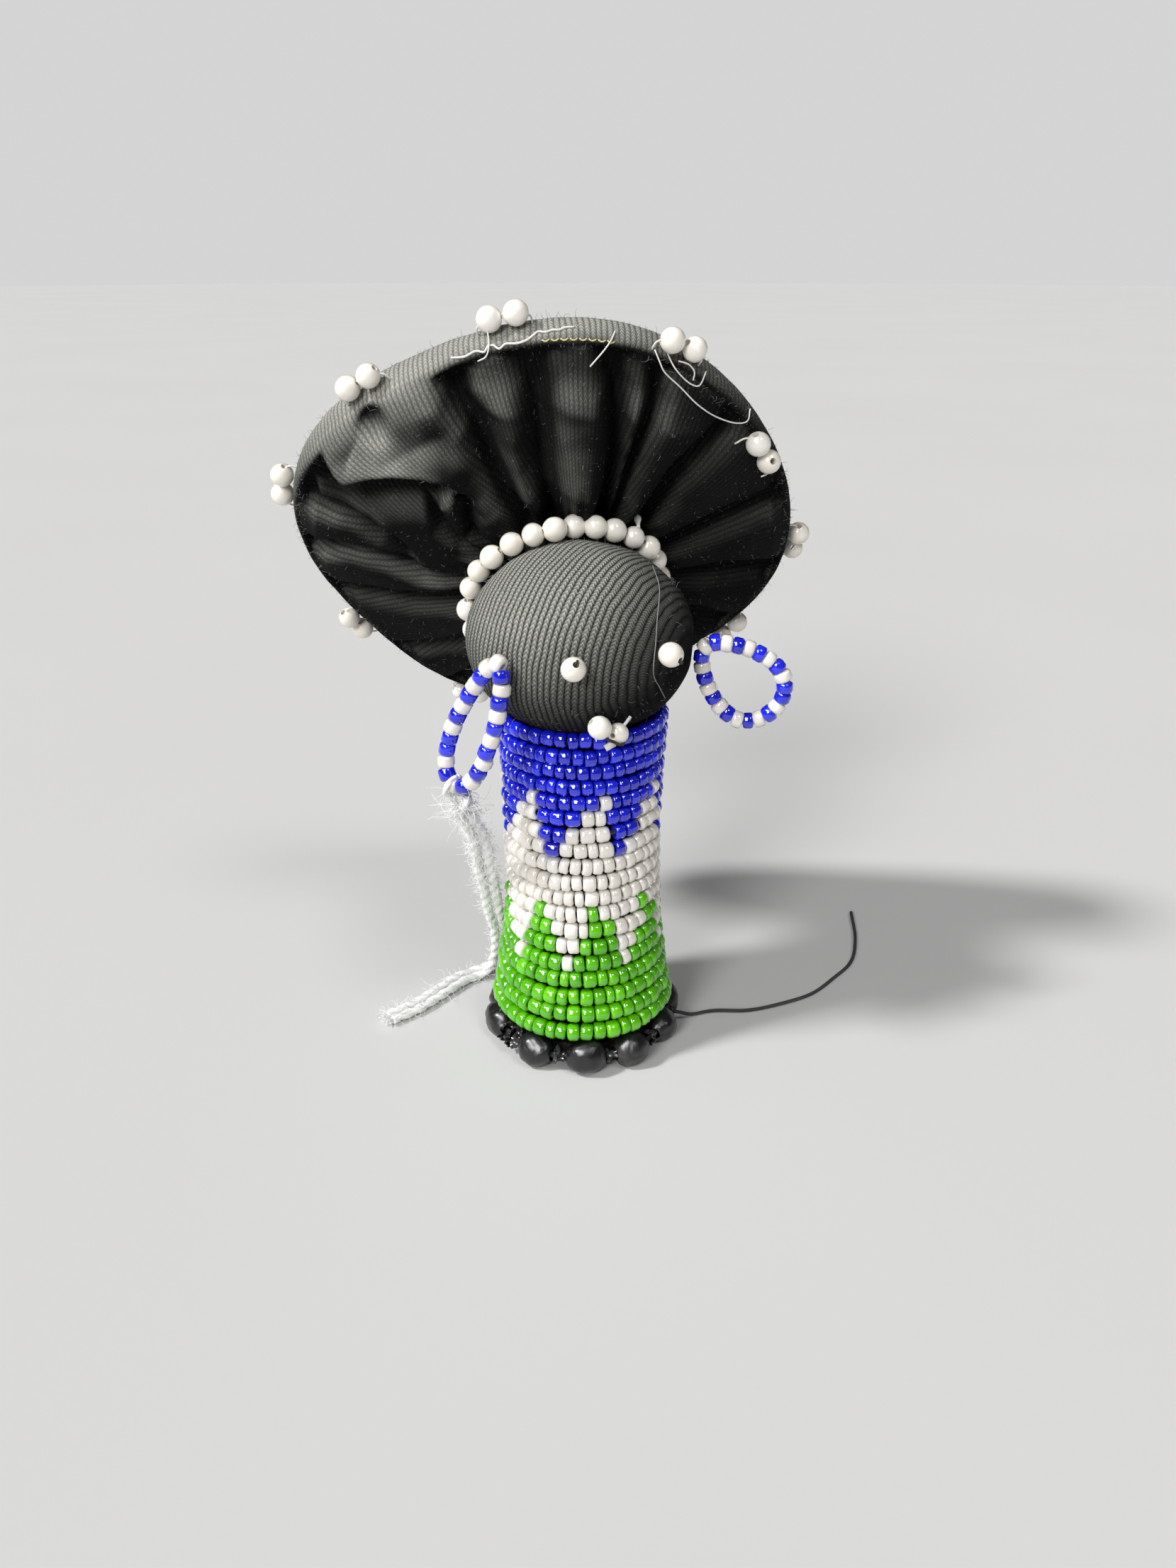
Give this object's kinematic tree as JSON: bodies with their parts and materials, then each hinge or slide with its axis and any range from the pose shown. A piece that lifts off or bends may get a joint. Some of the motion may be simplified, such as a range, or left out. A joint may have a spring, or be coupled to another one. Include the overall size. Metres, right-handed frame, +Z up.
{
  "type": "beaded doll",
  "caption": "Standing doll with a stuffed jersey body sheathed in rows of seed beads, a pearl face, hanging bead-loop earrings and a wide tilted disc hat gathered at the head",
  "frame": {"origin": "on the body's axis at the floor, in the middle of the sole's flat underside", "axes": "+Z up, the face looks along -Y, +X is towards the doll's left"},
  "size_m": [0.0865, 0.0544, 0.0969],
  "materials": {
    "jersey": "knitted, faded",
    "stuffing": "wadding",
    "sole": "matt",
    "board": "matt",
    "blue_glass": "glossy, opaque",
    "white_glass": "glossy, opaque",
    "green_glass": "glossy, opaque",
    "black_glass": "glossy, opaque",
    "pearl": "satin pearl",
    "string": "soft cotton",
    "thread": "twisted thread"
  },
  "bodies": {
    "doll": {"sole": "sole", "body_core": "stuffing", "body_sleeve": "jersey", "bead_row_01": "blue_glass", "bead_row_02": "blue_glass", "bead_row_03": "blue_glass", "bead_row_04": "blue_glass", "bead_row_05": "blue_glass", "bead_row_06": "blue_glass", "bead_row_07": "white_glass", "bead_row_08": "white_glass", "bead_row_09": "white_glass", "bead_row_10": "white_glass", "bead_row_11": "white_glass", "bead_row_12": "white_glass", "bead_row_13": "white_glass", "bead_row_14": "green_glass", "bead_row_15": "green_glass", "bead_row_16": "green_glass", "bead_row_17": "green_glass", "bead_row_18": "green_glass", "bead_row_19": "green_glass", "foot_bead_01": "black_glass", "foot_bead_02": "black_glass", "foot_bead_03": "black_glass", "foot_bead_04": "black_glass", "foot_bead_05": "black_glass", "foot_bead_06": "black_glass", "foot_bead_07": "black_glass", "foot_bead_08": "black_glass", "foot_bead_09": "black_glass", "foot_bead_10": "black_glass", "foot_bead_11": "black_glass", "foot_thread": "thread", "head_stuffing": "stuffing", "head_cover": "jersey", "eye_left": "pearl", "eye_right": "pearl", "mouth_pearls": "pearl", "head_band": "pearl", "hat_board": "board", "hat_cover": "jersey", "rim_pearl_pair_01": "pearl", "rim_pearl_pair_02": "pearl", "rim_pearl_pair_03": "pearl", "rim_pearl_pair_04": "pearl", "rim_pearl_pair_05": "pearl", "rim_pearl_pair_06": "pearl", "rim_pearl_pair_07": "pearl", "rim_pearl_pair_08": "pearl", "rim_pearl_pair_09": "pearl", "rim_pearl_pair_10": "pearl", "string_strand_a": "string", "string_strand_b": "string", "thread_tail": "thread"},
    "earring_left": {"earring_left": "white_glass"},
    "earring_right": {"earring_right": "white_glass", "string_knot": "string"}
  },
  "joints": [
    {"name": "earring_left_swing", "type": "hinge", "parent": "doll", "child": "earring_left", "pos_m": [0.01306, -0.00849, 0.0572], "axis": [-0.4909, -0.8712, 0], "range_deg": [-6, 60]},
    {"name": "earring_right_swing", "type": "hinge", "parent": "doll", "child": "earring_right", "pos_m": [-0.01359, -0.00918, 0.05828], "axis": [-0.5358, 0.8443, 0], "range_deg": [-15, 60], "deforming": ["string_strand_a", "string_strand_b"]}
  ]
}
